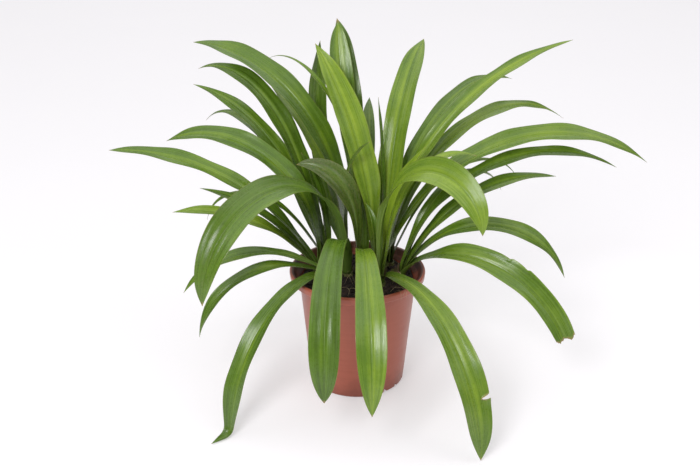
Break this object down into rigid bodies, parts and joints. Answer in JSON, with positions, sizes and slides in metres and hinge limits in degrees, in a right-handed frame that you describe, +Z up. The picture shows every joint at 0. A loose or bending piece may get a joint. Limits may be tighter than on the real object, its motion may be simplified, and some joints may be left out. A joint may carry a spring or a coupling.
{
  "type": "potted spider lily",
  "caption": "Clump of arching strap-leaved bulbs in soil in a round tapered plastic nursery pot with a turned lip and a drained foot.",
  "frame": {"origin": "centre of the pot's underside, on the surface that the pot stands on", "axes": "+Z up along the pot's axis, -Y toward the side that the picture shows, +X to its right"},
  "size_m": [0.6627, 0.475, 0.4408],
  "materials": {
    "pot_plastic": "satin",
    "potting_soil": "matte",
    "bulb": "satin",
    "leaf": "satin"
  },
  "bodies": {
    "root": {"pot": "pot_plastic", "soil": "potting_soil", "bulb_left": "bulb", "bulb_left_back": "bulb", "bulb_left_front": "bulb", "bulb_middle_left": "bulb", "bulb_front": "bulb", "bulb_right_front": "bulb", "bulb_right": "bulb", "bulb_middle_right": "bulb", "bulb_right_back": "bulb", "bulb_back": "bulb", "bulb_back_left": "bulb", "leaf_01": "leaf", "leaf_02": "leaf", "leaf_03": "leaf", "leaf_04": "leaf", "leaf_05": "leaf", "leaf_06": "leaf", "leaf_07": "leaf", "leaf_08": "leaf", "leaf_09": "leaf", "leaf_10": "leaf", "leaf_11": "leaf", "leaf_12": "leaf", "leaf_13": "leaf", "leaf_14": "leaf", "leaf_15": "leaf", "leaf_16": "leaf", "leaf_17": "leaf", "leaf_18": "leaf", "leaf_19": "leaf", "leaf_20": "leaf", "leaf_21": "leaf", "leaf_22": "leaf", "leaf_23": "leaf", "leaf_24": "leaf", "leaf_25": "leaf", "leaf_26": "leaf", "leaf_27": "leaf", "leaf_28": "leaf", "leaf_29": "leaf", "leaf_30": "leaf", "leaf_31": "leaf", "leaf_32": "leaf", "leaf_33": "leaf", "leaf_34": "leaf", "leaf_35": "leaf", "leaf_36": "leaf", "leaf_37": "leaf", "leaf_38": "leaf", "leaf_39": "leaf", "leaf_40": "leaf", "leaf_41": "leaf", "leaf_42": "leaf"}
  },
  "joints": []
}
